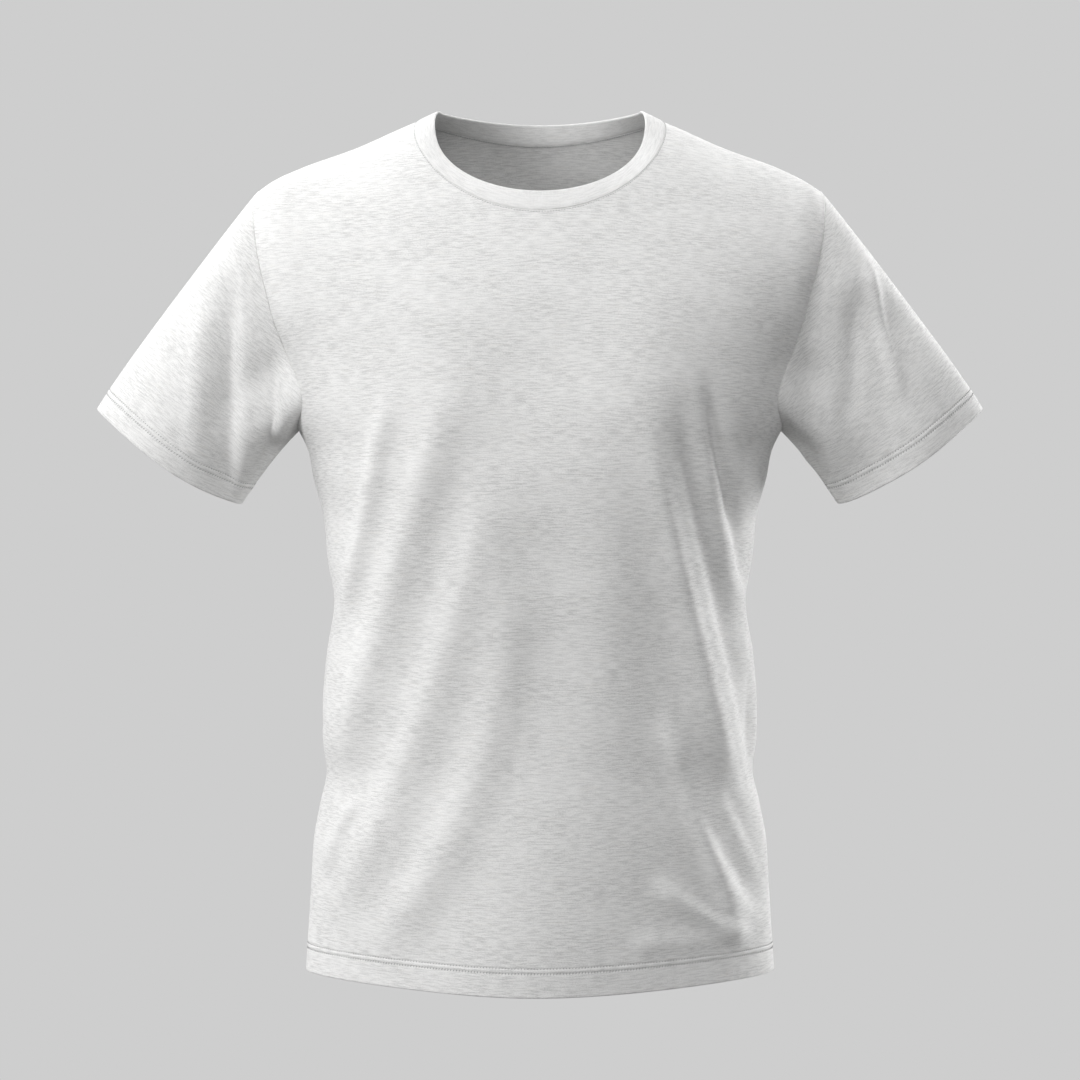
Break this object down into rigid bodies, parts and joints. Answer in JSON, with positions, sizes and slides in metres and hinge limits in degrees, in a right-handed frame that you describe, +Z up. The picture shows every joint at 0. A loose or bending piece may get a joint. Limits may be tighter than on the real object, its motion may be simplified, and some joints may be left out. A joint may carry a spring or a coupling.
{
  "type": "crew neck t-shirt",
  "caption": "Short-sleeved crew neck t-shirt of light heather jersey in its worn form, hollow, with open neck, cuffs and hem, a folded rib neck band and soft diagonal folds.",
  "frame": {"origin": "in the middle of the neck, level with the start of the shoulder line, where a wearer's neck and shoulders hold the shirt", "axes": "+X is the wearer's left, +Y the wearer's back, +Z up; the front faces -Y"},
  "size_m": [0.756, 0.2352, 0.7351],
  "materials": {
    "jersey": "matt heather cotton jersey",
    "rib": "matt fine cotton rib"
  },
  "bodies": {
    "root": {"body_front": "jersey", "body_back": "jersey", "sleeve_right": "jersey", "sleeve_left": "jersey", "neck_band": "rib"}
  },
  "joints": []
}
